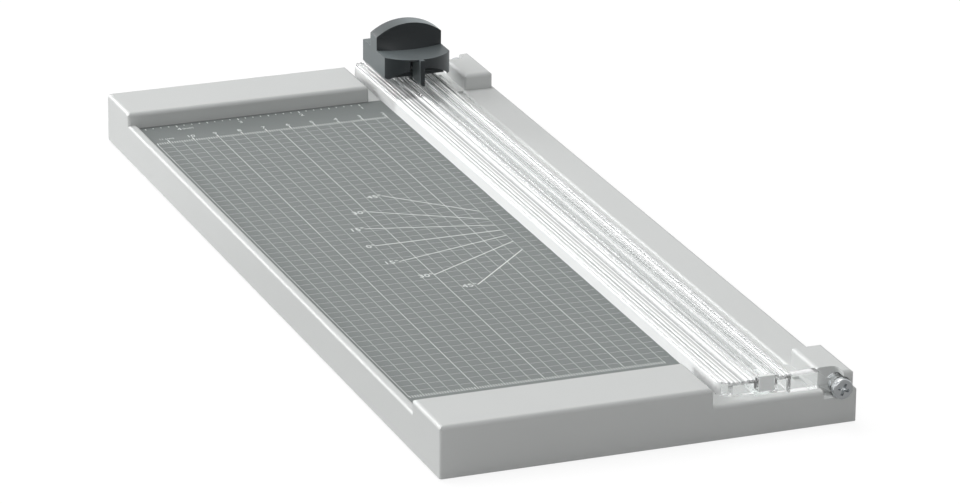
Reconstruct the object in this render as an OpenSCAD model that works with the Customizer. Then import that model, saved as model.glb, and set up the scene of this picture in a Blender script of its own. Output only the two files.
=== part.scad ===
// Paper trimmer: a printed bed, a clear hinged rail and a sliding head with a round blade.
// X runs across the cut, Y runs along the cut towards the fence, Z is up.
// The origin is on the floor, under the middle of the base.

/* [Base] */
// Width of the base across the cut
base_w = 154.5; // [145:0.5:180]
// Length of the base along the cut
base_l = 372; // [300:1:460]
// Height from the underside of the base to the bed
bed_h = 12.7; // [12:0.1:18]
// Height of the end blocks above the bed
block_rise = 6.4; // [5.5:0.1:9]
// Length of each end block along the cut
block_l = 27.2; // [24:0.1:34]
// Clear gap between the long end blocks and the rail
block_gap = 3; // [1:0.1:6]
// Wall thickness of the housing
base_wall = 2.4; // [1.8:0.1:3.2]
// Thickness of the housing under the bed
bed_wall = 2.6; // [2.2:0.1:4]
// Rounding of the top edges
edge_r = 1.6; // [0.6:0.1:2.2]
// Rounding of the upright corners
corner_r = 1; // [0.4:0.1:2]
// Width of the raised rim along the left edge
rim_w = 3.7; // [3.2:0.1:6]
// Height of that rim above the bed
rim_h = 1.5; // [1.2:0.1:3]
// Width of the strip at the right of the rail
strip_w = 14.4; // [13.4:0.1:18]
// Depth of the trough between the strip and the mat
trough_drop = 1; // [0.6:0.1:1.2]
// Thickness of the ribs inside the housing
rib_t = 1.6; // [1:0.1:3]

/* [Bed and mat] */
// Distance from the right side of the base to the cut line
cut_inset = 33.9; // [32:0.1:40]
// Thickness of the printed sheet
sheet_t = 0.6; // [0.4:0.1:1]
// Width of the cutting mat
mat_w = 7.8; // [5:0.1:9]
// Thickness of the cutting mat
mat_t = 1.6; // [1.2:0.1:1.8]
// Depth of the cut below the bed
bite = 0.5; // [0.3:0.05:0.6]

/* [Underside] */
// Thickness of the bottom plate
plate_t = 1; // [0.8:0.1:2]
// Depth of the bottom plate above the lower rim
plate_recess = 1.5; // [1.4:0.1:3]
// Diameter of the bottom screws
plate_screw_d = 3; // [2.5:0.1:4]
// Length of the bottom screws under the head
plate_screw_l = 7; // [5:0.5:8]
// Diameter of the rubber feet
foot_d = 12; // [8:0.5:18]
// Height of the lower rim above the floor
foot_gap = 1; // [0.6:0.1:3]

/* [Rail] */
// Distance from the cut line to the rail's left side
rail_left = 17.3; // [15.5:0.1:22]
// Distance from the cut line to the rail's right side
rail_right = 10.2; // [9.5:0.1:13]
// Height of the rail's flat top above the bed
rail_top = 7.3; // [6.4:0.1:9]
// Thickness of the rail's top
rail_skin = 1.6; // [1.2:0.1:2]
// Thickness of the rail's side walls
rail_side = 1.8; // [1.2:0.1:2.4]
// Distance from the ends of the rail to the ends of the base
rail_end_gap = 1.2; // [0.8:0.1:3]
// Rounding of the rail's near left corner seen from above
near_corner_r = 5; // [2:0.5:8]
// Rounding of the rail's far left corner seen from above
far_corner_r = 1.5; // [0.5:0.5:8]
// Thickness of the walls of the guide channel
channel_wall = 1.4; // [1:0.1:2]
// Thickness of the channel's floor
channel_floor = 1.1; // [0.9:0.1:1.4]
// Height of the channel's lips above the rail's flat top
lip_step = 0.9; // [0.6:0.1:1.4]
// Thickness of the lips
lip_t = 1.2; // [0.9:0.1:1.4]
// Reach of the lips over the channel
lip_reach = 0.9; // [0.7:0.1:1.2]
// Height of the ridges on the rail's top
ridge_h = 0.35; // [0.2:0.05:0.4]
// Thickness of the grip strip
grip_t = 0.5; // [0.3:0.1:0.8]
// Height of the stops in the channel
stop_h = 2.3; // [1.8:0.1:2.6]
// Thickness of the near stop's end plate
end_plate_t = 1.6; // [1:0.1:3]
// Distance from the end plate to the nose when the carriage is at its near end
nose_stop = 2.3; // [0.5:0.1:30]
// Angle that the rail presses down to hold paper
press_deg = 2.2; // [1.5:0.1:2.6]
// Angle that the rail swings up
open_deg = 50; // [40:1:60]

/* [Hinge] */
// Height of the hinge line above the bed
hinge_rise = 0.5; // [0.2:0.1:0.8]
// Distance from the hinge line to the left side of the hinge blocks
hinge_reach = 7; // [6.6:0.1:9]
// Distance from the right side of the base to the hinge blocks
hinge_block_inset = 1.5; // [0.5:0.1:3]
// Diameter of the hinge screws
hinge_screw_d = 3.9; // [3:0.1:4.4]
// Wall thickness of the hinge bushes
bush_wall = 0.5; // [0.4:0.05:0.8]
// Wall thickness of the hinge lugs round the bushes
lug_wall = 1.15; // [0.9:0.05:1.4]
// Thickness of the hinge lugs along the hinge line
lug_t = 4.2; // [3.5:0.1:6]
// Diameter of the hinge screws' heads
hinge_head_d = 7.6; // [7:0.1:9]
// Height of the hinge screws' heads
hinge_head_h = 1.7; // [1.4:0.1:3]
// Length of the threaded inserts
insert_l = 8; // [6:0.5:10]

/* [Carriage] */
// Width of the head
head_w = 27.5; // [26.5:0.1:30]
// Reach of the rounded prow in front of the head's corners
prow_l = 7.3; // [6:0.1:9]
// Wall thickness of the head's cover
head_wall = 1.4; // [1:0.1:1.8]
// Height of the fin's ends above the ledge
fin_side = 5.5; // [4:0.1:9]
// Height of the fin's crown above its ends
fin_crown = 4.7; // [3:0.1:8]
// Thickness of the fin
fin_t = 7.3; // [5:0.1:8.5]
// Distance from the back of the head to the fin
fin_back = 8.7; // [7:0.1:10]
// Reach of the fin's scooped foot over the ledge
foot_out = 3; // [1:0.1:4]
// Height of that foot
foot_h = 8; // [5:0.1:10]
// Width of the keel
keel_w = 1.9; // [1.2:0.1:2.4]
// Reach of the keel in front of the prow
keel_out = 1.8; // [1:0.1:2.4]
// Width of the slot at the left of the keel
keel_slot = 3.4; // [2.5:0.1:4]
// Length of each shoe of the slider
shoe_l = 3; // [2.5:0.1:5]
// Travel of the head when it is pressed
press_travel = 1.2; // [0.8:0.05:1.5]
// Height of the press springs at rest
spring_l = 3.25; // [3:0.05:5]
// Wire diameter of the press springs
wire_d = 0.35; // [0.25:0.05:0.4]
// Number of turns of the press springs
spring_turns = 3.5; // [2.5:0.5:3.5]
// Diameter of the guide posts
post_d = 3; // [2.4:0.1:3.2]

/* [Blade] */
// Diameter of the blade
blade_d = 14; // [12.5:0.1:16]
// Thickness of the blade
blade_t = 0.6; // [0.4:0.05:0.8]
// Diameter of the blade's hub
hub_d = 5; // [4:0.1:6]
// Diameter of the blade's axle
axle_d = 2; // [1.6:0.1:2.4]
// Thickness of each leg of the blade fork
leg_t = 1.2; // [0.9:0.1:1.4]

/* [Hidden] */
$fn = 48;

// Colours
shell_grey = "#cdcfce";
bed_grey = "#888d8c";
mat_grey = "#b9bdbc";
head_grey = "#33393b";
clear_tint = [0.93, 0.95, 0.95, 0.35];
zinc = "#b4b8ba";
brass = "#b59a55";
blade_steel = "#c9cdd0";
plate_grey = "#737676";
rubber_black = "#2a2c2d";

// Clearances, and how far a cut runs past a face
cut_over = 1;
fit_gap = 0.1;
seat_gap = 0.2;
run_gap = 0.05;
press_gap = 0.15;
slide_gap = 0.2;

// Outer limits and levels of the base
x_left = -base_w / 2;
x_right = base_w / 2;
y_near = -base_l / 2;
y_far = base_l / 2;
rim_z = foot_gap;
bed_z = rim_z + bed_h;
block_z = bed_z + block_rise;
bed_y0 = y_near + block_l;
bed_y1 = y_far - block_l;
ceiling_z = bed_z - bed_wall;

// Lines across the base
cut_x = x_right - cut_inset;
rail_x0 = cut_x - rail_left;
rail_x1 = cut_x + rail_right;
block_x1 = rail_x0 - block_gap;
strip_x = x_right - strip_w;
mat_x0 = cut_x - mat_w / 2;
mat_x1 = cut_x + mat_w / 2;
bed_x0 = x_left + rim_w;

// Bottom plate, its screws and the feet
plate_z = rim_z + plate_recess;
plate_top = plate_z + plate_t;
screw_inset_x = 19;
screw_inset_y = 44;
screw_xs = [x_left + screw_inset_x, x_right - screw_inset_x];
screw_ys = [y_near + screw_inset_y, 0, y_far - screw_inset_y];
screw_boss_wall = 2;
screw_head_h = 1.2;
screw_head_wide = 2.6;
foot_inset = 13;
foot_xs = [x_left + foot_inset, x_right - foot_inset];
foot_ys = [y_near + foot_inset, y_far - foot_inset];

// Ribs inside the housing
cross_ribs = 5;
long_ribs = 3;

// Hinge line, its recess in the hinge blocks and the stack of parts on each screw
bush_d = hinge_screw_d + 2 * run_gap + 2 * bush_wall;
lug_r = bush_d / 2 + run_gap + lug_wall;
recess_gap = 0.4;
recess_r = lug_r + recess_gap;
recess_side = 0.6;
recess_low = 2.9;
recess_bulge = 0.8;
recess_bay = 0.5;
recess_corner_r = 2.5;
hinge_x = x_right - hinge_block_inset - recess_side - recess_r;
hinge_z = bed_z + hinge_rise;
hinge_block_x = hinge_x - hinge_reach;
washer_t = 0.4;
spring_washer_t = 0.3;
recess_d = rail_end_gap + lug_t + press_gap * 2;
recess_y = y_near + recess_d;
insert_wall = 1;
insert_d = hinge_screw_d + 2 * run_gap + 2 * insert_wall;
boss_wall = 1.6;
arm_slot_side = 1.9;
arm_slot_w = 2.8;
arm_slot_l = 12;
arm_slot_d = 0.8;

// Blade fork and the channel that it runs in
leg_gap = 0.15;
leg_x = blade_t / 2 + leg_gap;
mouth_gap = 0.45;
mouth_w = 2 * (leg_x + leg_t + mouth_gap);
channel_w = mouth_w + 2 * lip_reach;
channel_out = channel_w / 2 + channel_wall;
slot_w = blade_t + 0.8;
groove_w = blade_t + 0.6;
groove_d = bite + 0.4;

// Levels of the rail at rest: each stays clear of the bed when the rail presses down
press_rise = sin(press_deg);
rail_y0 = y_near + rail_end_gap;
rail_y1 = y_far - rail_end_gap;
top_z = bed_z + rail_top;
lip_z = top_z + lip_step;
left_low = bed_z + (hinge_x - rail_x0) * press_rise + grip_t + press_gap;
channel_low = bed_z + (hinge_x - cut_x + channel_out) * press_rise + 2 * press_gap;
floor_top = channel_low + channel_floor;
stop_top = floor_top + stop_h;
right_low = bed_z + (hinge_x - rail_x1 + rail_side) * press_rise + press_gap;
rail_edge_r = 1.2;
end_wall = 1.6;
arm_top = top_z - 0.4;

// Ridges on the rail's top, measured from its sides and from the channel
ridge_r = 0.6;
ridge_xs = concat(
  [for (d = [1.4, 3.1, 4.7]) rail_x0 + d],
  [for (d = [0.9, 2.5]) cut_x - channel_out - d],
  [for (d = [1, 2.5]) cut_x + channel_out + d],
  [rail_x1 - 1.8]
);

// Levels of the carriage, from the rail upwards
deck_t = 1.4;
deck_z = lip_z + press_gap;
deck_top = deck_z + deck_t;
flange_t = 1.2;
flange_z = deck_top + spring_l;
flange_top = flange_z + flange_t;
clip_t = 0.5;
clip_z = flange_top + run_gap;
post_top = clip_z + clip_t + 0.25;
blade_z = bed_z + press_travel + (hinge_x - cut_x) * press_rise - bite + blade_d / 2;
roof_z = max(post_top + press_travel + slide_gap, blade_z + blade_d / 2 + slide_gap);
head_z0 = top_z + ridge_h + press_travel + press_gap;
head_z1 = roof_z + head_wall;
fin_z1 = head_z1 + fin_side + fin_crown;
keel_gap = 0.95;
keel_z = stop_top + press_travel + keel_gap;
keel_x0 = cut_x - mouth_w / 2 + slide_gap;
shoe_top = lip_z - lip_t - slide_gap;
shoe_low = floor_top + stop_h / 2;

// Places of the carriage along the rail
deck_side = 0.4;
deck_edge = head_wall + deck_side;
window_gap = 0.6;
window_l = blade_d + 2 * window_gap;
window_w = mouth_w + 1;
shoe_gap = 0.3;
head_l = window_l + 2 * (shoe_gap + shoe_l + deck_edge);
head_y1 = rail_y1 - 1;
head_y0 = head_y1 - head_l;
nose_y = head_y0 - prow_l - keel_out;
fin_y1 = head_y1 - fin_back;
fin_y0 = fin_y1 - fin_t;
blade_y = (head_y0 + head_y1) / 2;
head_x0 = cut_x - head_w / 2;
head_x1 = cut_x + head_w / 2;
front_shoe_y = head_y0 + deck_edge;
rear_shoe_y = head_y1 - deck_edge - shoe_l;
near_stop_l = end_plate_t + nose_stop + keel_out + prow_l + deck_edge;
slide_travel = front_shoe_y - slide_gap - rail_y0 - near_stop_l;

// The mat and the slot reach past the blade over the whole travel
mat_over = 6.5;
mat_y0 = blade_y - slide_travel - mat_over;
mat_y1 = blade_y + mat_over;
slot_inset = 1;

// Fork, posts, screws and press springs
leg_l = 7;
leg_drop = axle_d / 2 + 1;
flange_bridge = 1.6;
flange_slot = 2 * sqrt(max(1, pow(blade_d / 2, 2) - pow(flange_z - blade_z, 2))) + 4 * leg_gap;
flange_l = flange_slot + 2 * flange_bridge;
flange_half = head_w / 2 - deck_edge;
post_wall = 1;
post_x = flange_half - post_wall - post_d / 2;
clip_wide = 0.8;
fork_screw_x = (leg_x + leg_t + post_x - post_d / 2 - clip_wide) / 2;
fork_screw_d = 2;
fork_head_d = 3.6;
fork_head_h = 1;
fork_screw_reach = 2.4;
boss_d = fork_screw_d + 2.4;
spring_r = post_d / 2 + run_gap + wire_d / 2 + 0.25;
spring_low = deck_top + wire_d / 2;
spring_high = flange_z - wire_d / 2;

// Flat shapes

// Upright rectangle between two corners
module box2(a0, a1, b0, b1) {
  translate([a0, b0]) square([a1 - a0, b1 - b0]);
}

// Rectangle with its two upper corners rounded
module crown2(a0, a1, b0, b1, r) {
  box2(a0, a1, b0, b1 - r);
  box2(a0 + r, a1 - r, b0, b1);
  for (a = [a0 + r, a1 - r]) translate([a, b1 - r]) circle(r);
}

// Rectangle with all four corners rounded
module round2(a0, a1, b0, b1, r) {
  box2(a0 + r, a1 - r, b0, b1);
  box2(a0, a1, b0 + r, b1 - r);
  for (a = [a0 + r, a1 - r], b = [b0 + r, b1 - r]) translate([a, b]) circle(r);
}

// Solids from flat shapes

// Extrudes a shape drawn in X and Z along Y
module along_y(y0, y1) {
  translate([0, y1, 0]) rotate([90, 0, 0]) linear_extrude(y1 - y0) children();
}

// Extrudes a shape drawn in Y and Z along X
module along_x(x0, x1) {
  translate([x0, 0, 0]) rotate([90, 0, 90]) linear_extrude(x1 - x0) children();
}

// Block between two corners
module box3(x0, x1, y0, y1, z0, z1) {
  translate([x0, y0, z0]) cube([x1 - x0, y1 - y0, z1 - z0]);
}

// Block with rounded top edges and rounded upright corners
module soft_block(x0, x1, y0, y1, z0, z1, top_r, side_r) {
  intersection() {
    along_y(y0, y1) crown2(x0, x1, z0, z1, top_r);
    along_x(x0, x1) crown2(y0, y1, z0, z1, top_r);
    translate([0, 0, z0]) linear_extrude(z1 - z0) round2(x0, x1, y0, y1, side_r);
  }
}

// Cylinder along Y between two places on the hinge line
module on_hinge(y0, y1, d) {
  translate([hinge_x, y1, hinge_z]) rotate([90, 0, 0]) cylinder(h = y1 - y0, d = d);
}

// Ring along Y on the hinge line
module hinge_ring(y0, y1, outer_d, inner_d) {
  difference() {
    on_hinge(y0, y1, outer_d);
    on_hinge(y0 - cut_over, y1 + cut_over, inner_d);
  }
}

// Draws its children at the near end and mirrored at the far end
module both_ends() {
  children();
  mirror([0, 1, 0]) children();
}

// Draws its children at each bottom screw
module at_plate_screws() {
  for (x = screw_xs, y = screw_ys) translate([x, y, 0]) children();
}

// Base

// Outside of the housing: slab, rim, end blocks and hinge blocks
module housing_outside() {
  rim_r = rim_h * 0.8;
  rim_y = bed_y1 + 2 * edge_r;
  soft_block(x_left, x_right, y_near, y_far, rim_z, bed_z, edge_r, corner_r);
  soft_block(x_left, bed_x0, -rim_y, rim_y, rim_z, bed_z + rim_h, rim_r, corner_r / 2);
  both_ends() {
    soft_block(x_left, block_x1, y_near, bed_y0, rim_z, block_z, edge_r, corner_r);
    soft_block(hinge_block_x, x_right - hinge_block_inset, y_near, bed_y0, rim_z, block_z, edge_r, corner_r);
  }
}

// Hollow of the housing, open below
module housing_hollow() {
  x0 = x_left + base_wall;
  y0 = y_near + base_wall;
  box3(x0, x_right - base_wall, y0, y_far - base_wall, rim_z - cut_over, ceiling_z);
  both_ends() {
    box3(x0, block_x1 - base_wall, y0, bed_y0 - base_wall, ceiling_z - cut_over, block_z - base_wall);
  }
}

// Ribs, screw bosses and hinge bosses inside the hollow
module housing_inside() {
  z1 = ceiling_z + cut_over / 2;
  x0 = x_left + base_wall / 2;
  x1 = x_right - base_wall / 2;
  y0 = y_near + base_wall / 2;
  y1 = y_far - base_wall / 2;
  for (k = [1 : cross_ribs]) {
    y = y0 + (y1 - y0) * k / (cross_ribs + 1);
    box3(x0, x1, y - rib_t / 2, y + rib_t / 2, plate_top, z1);
  }
  for (k = [1 : long_ribs]) {
    x = x0 + (x1 - x0) * k / (long_ribs + 1);
    box3(x - rib_t / 2, x + rib_t / 2, y0, y1, plate_top, z1);
  }
  at_plate_screws() translate([0, 0, plate_top])
    cylinder(h = z1 - plate_top, d = plate_screw_d + 2 * screw_boss_wall);
  both_ends() box3(hinge_block_x, x1, y0, recess_y + insert_l + boss_wall, plate_top, z1);
}

// Recess for a hinge lug in the near hinge block
module lug_recess() {
  along_y(y_near - cut_over, recess_y) {
    translate([hinge_x, hinge_z]) circle(recess_r);
    box2(hinge_block_x + recess_gap, hinge_x, bed_z - recess_low, block_z + cut_over);
    box2(hinge_block_x - cut_over, hinge_x, bed_z, block_z + cut_over);
  }
  translate([0, 0, hinge_z]) linear_extrude(block_z - hinge_z + cut_over) recess_bay_plan();
}

// Plan of the recess in the block's top, with a round far right corner
module recess_bay_plan() {
  x0 = hinge_block_x - cut_over;
  x1 = hinge_x + recess_bulge;
  y0 = y_near - cut_over;
  y1 = recess_y + recess_bay;
  r = recess_corner_r;
  box2(x0, x1 - r, y0, y1);
  box2(x0, x1, y0, y1 - r);
  translate([x1 - r, y1 - r]) circle(r);
}

// Shallow slot in the base beside the near hinge block, behind the rail's arm
module arm_slot() {
  x1 = hinge_block_x - arm_slot_side;
  y0 = rail_y0 + lug_t;
  box3(x1 - arm_slot_w, x1, y0, y0 + arm_slot_l, bed_z - arm_slot_d, bed_z + cut_over);
}

// Shallow trough at the right of the mat, with a rounded edge at the strip
module trough() {
  along_y(bed_y0, bed_y1) difference() {
    box2(mat_x1, strip_x + trough_drop, bed_z - trough_drop, bed_z + cut_over);
    crown2(strip_x, strip_x + 4 * trough_drop, bed_z - 3 * trough_drop, bed_z, trough_drop);
  }
}

module base_housing() {
  color(shell_grey) difference() {
    union() {
      difference() {
        housing_outside();
        housing_hollow();
      }
      housing_inside();
    }
    box3(bed_x0, mat_x0, bed_y0, bed_y1, bed_z - sheet_t, bed_z + cut_over);
    box3(mat_x0, mat_x1, mat_y0, mat_y1, bed_z - mat_t, bed_z + cut_over);
    trough();
    both_ends() {
      lug_recess();
      arm_slot();
      on_hinge(recess_y - cut_over, recess_y + insert_l, insert_d + 2 * fit_gap);
    }
    at_plate_screws() translate([0, 0, plate_top - cut_over])
      cylinder(h = plate_screw_l - plate_t + cut_over + fit_gap, d = plate_screw_d + 2 * run_gap);
  }
}

module bottom_plate() {
  x1 = x_right - base_wall - seat_gap;
  y1 = y_far - base_wall - seat_gap;
  color(plate_grey) difference() {
    box3(-x1, x1, -y1, y1, plate_z, plate_top);
    at_plate_screws() translate([0, 0, plate_z - cut_over])
      cylinder(h = plate_t + 2 * cut_over, d = plate_screw_d + 2 * seat_gap);
  }
}

module bottom_screws() {
  color(zinc) at_plate_screws() translate([0, 0, plate_z]) {
    cylinder(h = plate_screw_l, d = plate_screw_d);
    translate([0, 0, -screw_head_h]) cylinder(h = screw_head_h, d = plate_screw_d + screw_head_wide);
  }
}

module rubber_feet() {
  color(rubber_black) for (x = foot_xs, y = foot_ys) translate([x, y, 0]) cylinder(h = plate_z, d = foot_d);
}

module printed_bed() {
  x1 = mat_x0 - fit_gap;
  color(bed_grey) box3(bed_x0 + fit_gap, x1, bed_y0 + fit_gap, bed_y1 - fit_gap, bed_z - sheet_t, bed_z);
}

module cutting_mat() {
  y0 = mat_y0 + fit_gap;
  y1 = mat_y1 - fit_gap;
  half = groove_w / 2;
  color(mat_grey) difference() {
    box3(mat_x0 + fit_gap, mat_x1 - fit_gap, y0, y1, bed_z - mat_t, bed_z);
    box3(cut_x - half, cut_x + half, y0 - cut_over, y1 + cut_over, bed_z - groove_d, bed_z + cut_over);
  }
}

// Hinge hardware, at both ends

module threaded_inserts() {
  color(zinc) both_ends()
    hinge_ring(recess_y, recess_y + insert_l - fit_gap, insert_d, hinge_screw_d + 2 * run_gap);
}

module hinge_bushes() {
  color(zinc) both_ends() hinge_ring(y_near, recess_y, bush_d, hinge_screw_d + 2 * run_gap);
}

module hinge_washers() {
  color(zinc) both_ends() hinge_ring(y_near - washer_t, y_near, hinge_head_d, hinge_screw_d + 2 * run_gap);
}

module spring_washers() {
  color(blade_steel) both_ends()
    hinge_ring(y_near, y_near + spring_washer_t, 2 * lug_r, bush_d + 2 * run_gap);
}

// Half section of a pan head, with its rim rounded
module pan_head() {
  r = hinge_head_d / 2;
  rim_r = hinge_head_h / 2;
  box2(0, r, 0, hinge_head_h - rim_r);
  box2(0, r - rim_r, 0, hinge_head_h);
  translate([r - rim_r, hinge_head_h - rim_r]) circle(rim_r);
}

module hinge_screws() {
  head_y = y_near - washer_t;
  cross_l = 4.4;
  cross_w = 1.1;
  cross_d = hinge_head_h * 0.6;
  cross_turn = 20;
  color(zinc) both_ends() difference() {
    union() {
      translate([hinge_x, head_y, hinge_z]) rotate([90, 0, 0]) rotate_extrude() pan_head();
      on_hinge(head_y - cross_d / 2, recess_y + insert_l - 2 * fit_gap, hinge_screw_d);
    }
    for (turn = [cross_turn, cross_turn + 90]) {
      translate([hinge_x, head_y - hinge_head_h, hinge_z]) rotate([0, turn, 0])
        cube([cross_l, 2 * cross_d, cross_w], center = true);
    }
  }
}

// Rail

// Cross section of the rail, drawn in X and Z
module rail_section() {
  inner_z = top_z - rail_skin;
  half = channel_w / 2;
  difference() {
    crown2(rail_x0, cut_x - half, left_low, top_z, rail_edge_r);
    box2(rail_x0 + rail_side, cut_x - half + cut_over, left_low - cut_over, inner_z);
  }
  difference() {
    crown2(cut_x + half, rail_x1, right_low, top_z, rail_edge_r);
    box2(cut_x + half - cut_over, rail_x1 - rail_side, right_low - cut_over, inner_z);
  }
  for (x0 = [cut_x - channel_out, cut_x + half]) box2(x0, x0 + channel_wall, channel_low, lip_z);
  for (x0 = [cut_x - half, cut_x + mouth_w / 2]) box2(x0, x0 + lip_reach, lip_z - lip_t, lip_z);
  box2(cut_x - channel_out, cut_x + channel_out, channel_low, floor_top);
  for (x = ridge_xs) translate([x, top_z + ridge_h - ridge_r]) circle(ridge_r);
}

// Outline of the rail seen from above, with rounded left corners
module rail_outline() {
  linear_extrude(lip_z + cut_over) {
    box2(rail_x0, rail_x1, rail_y0 + near_corner_r, rail_y1 - far_corner_r);
    box2(rail_x0 + near_corner_r, rail_x1, rail_y0, rail_y0 + 2 * near_corner_r);
    box2(rail_x0 + far_corner_r, rail_x1, rail_y1 - 2 * far_corner_r, rail_y1);
    translate([rail_x0 + near_corner_r, rail_y0 + near_corner_r]) circle(near_corner_r);
    translate([rail_x0 + far_corner_r, rail_y1 - far_corner_r]) circle(far_corner_r);
  }
}

// Walls that close the near end under the rail's top, with the left corner filled
module rail_end(fill) {
  z1 = top_z - rail_skin / 2;
  in_left = cut_x - channel_out + channel_wall / 2;
  in_right = cut_x + channel_out - channel_wall / 2;
  box3(rail_x0, in_left, rail_y0, rail_y0 + end_wall, left_low, z1);
  box3(rail_x0, rail_x0 + fill, rail_y0, rail_y0 + fill, left_low, z1);
  box3(in_right, rail_x1, rail_y0, rail_y0 + end_wall, channel_low, z1);
}

// Arm at the near end, with the round lug on the hinge line: its slope clears the block when the rail is up
module hinge_arm() {
  slope_x = (arm_top - hinge_z) * tan(open_deg);
  slope_foot = [hinge_x - slide_gap, hinge_z];
  root_x = rail_x1 - rail_side;
  low_x = hinge_block_x - slide_gap;
  chin = [cos(215), sin(215)] * lug_r;
  along_y(rail_y0, rail_y0 + lug_t) {
    translate([hinge_x, hinge_z]) circle(lug_r);
    polygon([
      slope_foot, slope_foot + [-slope_x, arm_top - hinge_z], [root_x, arm_top], [root_x, right_low],
      [low_x, right_low], [hinge_x, hinge_z] + chin
    ]);
  }
}

// Room for the near stop's end plate between the channel's walls
module plate_pocket() {
  half = channel_w / 2;
  y1 = rail_y0 + end_plate_t + fit_gap;
  box3(cut_x - half, cut_x + half, rail_y0 - cut_over, y1, floor_top, lip_z + cut_over);
}

module clear_rail() {
  half = slot_w / 2;
  slot_y0 = mat_y0 + slot_inset;
  slot_y1 = mat_y1 - slot_inset;
  color(clear_tint) difference() {
    union() {
      intersection() {
        union() {
          along_y(rail_y0, rail_y1) rail_section();
          rail_end(near_corner_r);
          mirror([0, 1, 0]) rail_end(far_corner_r);
        }
        rail_outline();
      }
      both_ends() hinge_arm();
    }
    box3(cut_x - half, cut_x + half, slot_y0, slot_y1, channel_low - cut_over, floor_top + fit_gap);
    plate_pocket();
    both_ends() on_hinge(rail_y0 - cut_over, rail_y0 + lug_t + cut_over, bush_d + 2 * run_gap);
  }
}

module grip_strip() {
  y0 = rail_y0 + near_corner_r;
  y1 = rail_y1 - far_corner_r;
  color(clear_tint)
    box3(rail_x0 + fit_gap, rail_x0 + rail_side - fit_gap, y0, y1, left_low - grip_t, left_low);
}

// Stop in the channel between two places along the rail
module channel_stop(y0, y1, z1) {
  half = channel_w / 2 - fit_gap;
  box3(cut_x - half, cut_x + half, y0, y1, floor_top, z1);
}

module near_stop() {
  color(shell_grey) {
    channel_stop(rail_y0, rail_y0 + near_stop_l, stop_top);
    channel_stop(rail_y0, rail_y0 + end_plate_t, lip_z);
  }
}

module far_stop() {
  color(shell_grey) channel_stop(rear_shoe_y + shoe_l + slide_gap, rail_y1, stop_top);
}

// Carriage

// Draws its children at the two guide posts
module at_posts() {
  for (side = [-1, 1]) translate([cut_x + side * post_x, blade_y, 0]) children();
}

// Draws its children at the two fork screws
module at_fork_screws() {
  for (side = [-1, 1]) translate([cut_x + side * fork_screw_x, blade_y, 0]) children();
}

// Shoe that runs in the channel, with its neck up to the deck
module slider_shoe(y0) {
  shoe_half = channel_w / 2 - slide_gap;
  neck_half = mouth_w / 2 - slide_gap;
  along_y(y0, y0 + shoe_l) {
    box2(cut_x - shoe_half, cut_x + shoe_half, shoe_low, shoe_top);
    box2(cut_x - neck_half, cut_x + neck_half, shoe_low, deck_top);
  }
}

module slider_deck() {
  half = window_w / 2;
  window_y0 = blade_y - window_l / 2;
  window_y1 = blade_y + window_l / 2;
  color(head_grey) difference() {
    union() {
      box3(head_x0 + deck_edge, head_x1 - deck_edge, front_shoe_y, rear_shoe_y + shoe_l, deck_z, deck_top);
      slider_shoe(front_shoe_y);
      slider_shoe(rear_shoe_y);
    }
    box3(cut_x - half, cut_x + half, window_y0, window_y1, deck_z - cut_over, deck_top + cut_over);
    at_posts() translate([0, 0, deck_z - cut_over]) cylinder(h = deck_t + 2 * cut_over, d = post_d);
  }
}

module guide_posts() {
  color(blade_steel) at_posts() translate([0, 0, deck_z]) cylinder(h = post_top - deck_z, d = post_d);
}

module post_clips() {
  color(blade_steel) at_posts() translate([0, 0, clip_z]) difference() {
    cylinder(h = clip_t, d = post_d + 2 * clip_wide);
    translate([0, 0, -cut_over]) cylinder(h = clip_t + 2 * cut_over, d = post_d);
  }
}

// One coil of round wire about Z, as rings of points along a helix
wire_sides = 6;
turn_rings = 12;
function wire_ring(k, n) =
  let (t = k / n, turn = 360 * spring_turns * t)
  [for (s = [0 : wire_sides - 1])
    let (a = 360 * s / wire_sides, r = spring_r + wire_d / 2 * cos(a))
    [r * cos(turn), r * sin(turn), spring_low + (spring_high - spring_low) * t + wire_d / 2 * sin(a)]];

module coil() {
  n = round(turn_rings * spring_turns);
  points = [for (k = [0 : n], p = wire_ring(k, n)) p];
  last = n * wire_sides;
  sides = [for (k = [0 : n - 1], s = [0 : wire_sides - 1])
    let (a = k * wire_sides + s, b = k * wire_sides + (s + 1) % wire_sides)
    each [[a, a + wire_sides, b], [b, a + wire_sides, b + wire_sides]]];
  ends = [for (s = [1 : wire_sides - 2]) each [[0, s, s + 1], [last, last + s + 1, last + s]]];
  polyhedron(points, concat(sides, ends));
}

// Least gap of a coil to itself, from points of its middle line at least half a turn apart
function wire_middle(t) =
  let (turn = 360 * spring_turns * t)
  [spring_r * cos(turn), spring_r * sin(turn), spring_low + (spring_high - spring_low) * t];
coil_points = [for (k = [0 : turn_rings * spring_turns]) wire_middle(k / (turn_rings * spring_turns))];
coil_gaps = [for (i = [0 : len(coil_points) - 1], j = [i + turn_rings / 2 : 1 : len(coil_points) - 1])
  norm(coil_points[i] - coil_points[j]) - wire_d];
echo(least_spring_gap = min(coil_gaps));

module press_springs() {
  color(blade_steel) at_posts() coil();
}

// Bowed line from one point up to another, as steps along a parabola
bow_steps = 8;
function bow(p, q, rise) =
  let (d = q - p, n = [d[1], -d[0]] / norm(d))
  [for (k = [0 : bow_steps - 1]) let (t = k / bow_steps) p + d * t + n * rise * 4 * t * (1 - t)];

// Radius of an arc from half of its chord and its height
function arc_r(half, rise) = (half * half + rise * rise) / (2 * rise);

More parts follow.
